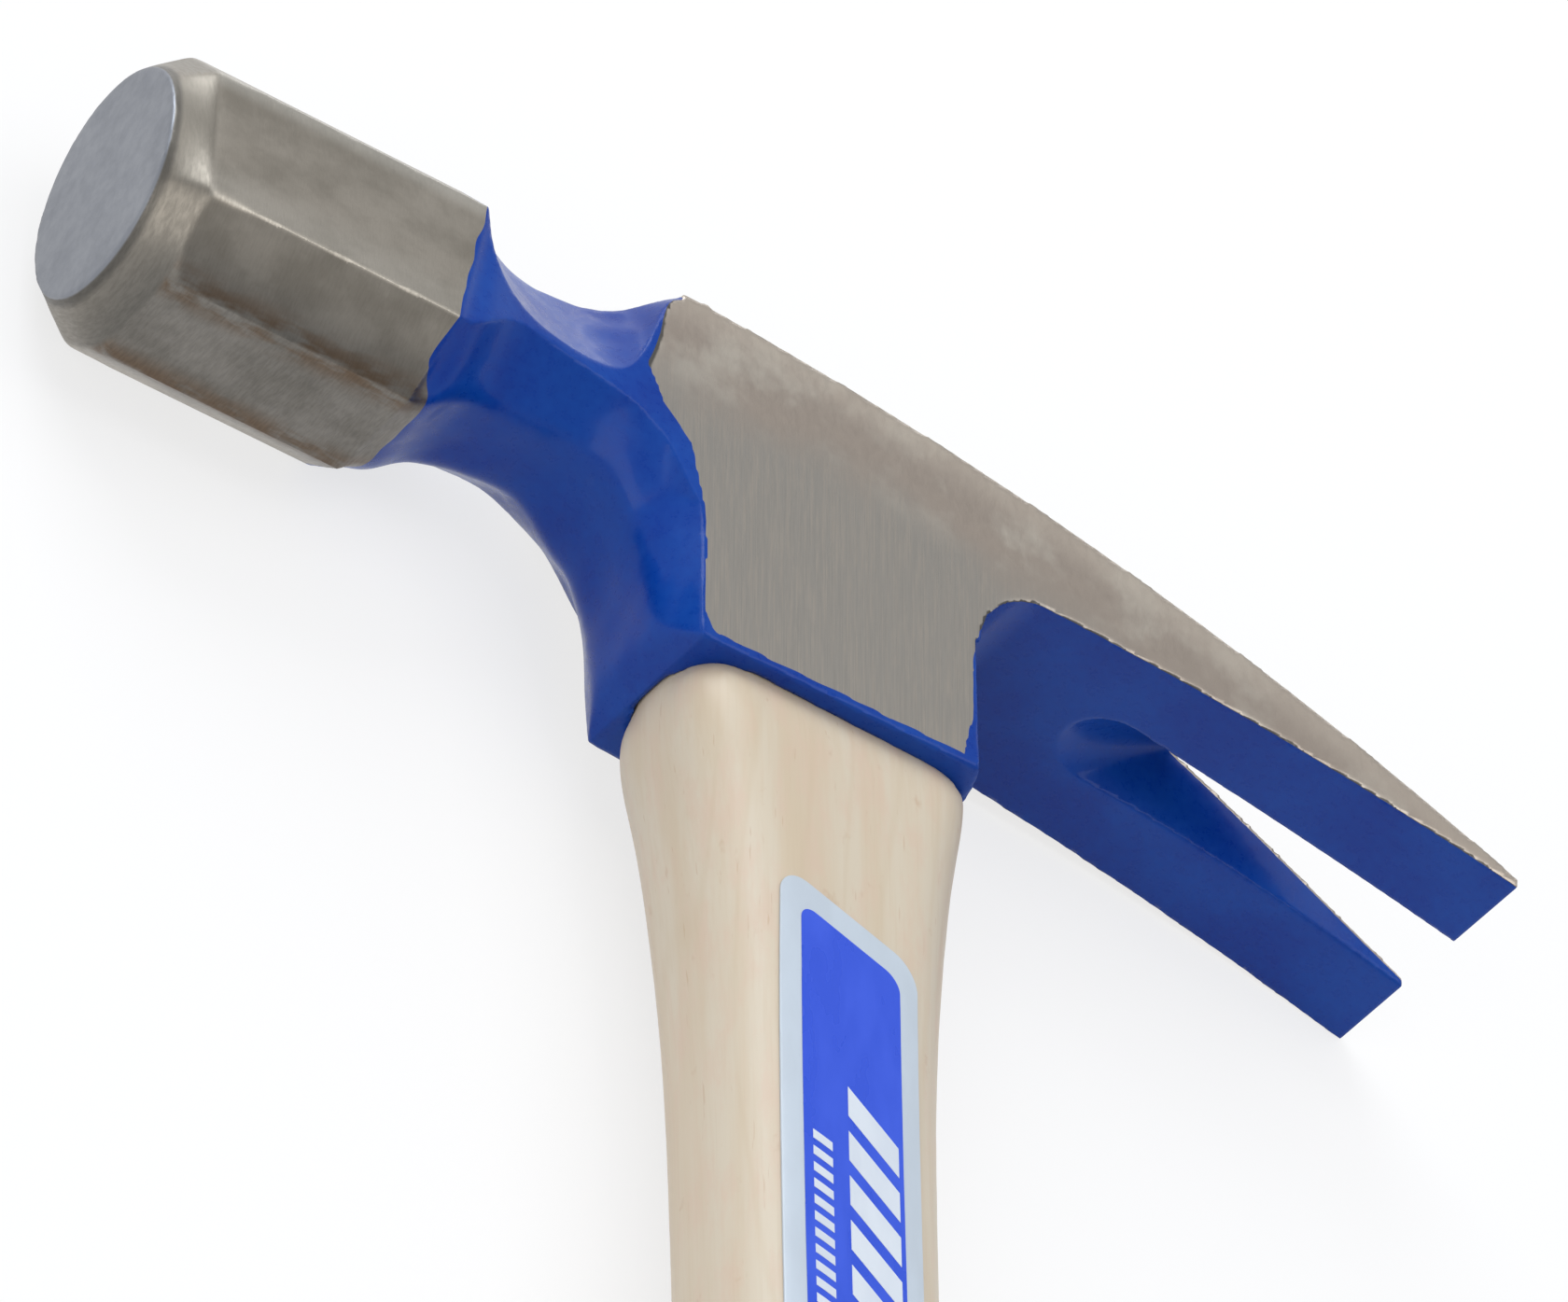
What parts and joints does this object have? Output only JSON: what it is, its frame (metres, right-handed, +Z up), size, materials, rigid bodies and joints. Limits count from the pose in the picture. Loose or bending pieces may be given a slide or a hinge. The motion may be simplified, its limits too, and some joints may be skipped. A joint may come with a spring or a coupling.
{
  "type": "claw hammer",
  "caption": "Rip claw hammer with an octagonal poll, concave neck, straight bevelled claws and a wooden handle wedged into the eye; drives and pulls nails.",
  "frame": {"origin": "centre of the bounding box at its lowest Z, with the hammer lying on its side", "axes": "+X along the head from the striking face to the claws, +Y along the handle from the butt to the head, +Z up across the head"},
  "size_m": [0.124, 0.2888, 0.0229],
  "materials": {
    "blue_enamel": "gloss enamel on forged steel",
    "ground_steel": "belt ground",
    "hickory": "clear lacquer",
    "wedge_wood": "bare end grain",
    "wedge_steel": "satin",
    "label_film": "satin film"
  },
  "bodies": {
    "root": {"hammer_head": "blue_enamel", "handle": "hickory", "eye_wedge": "wedge_wood", "front_steel_wedge": "wedge_steel", "rear_steel_wedge": "wedge_steel", "handle_label": "label_film"}
  },
  "joints": []
}
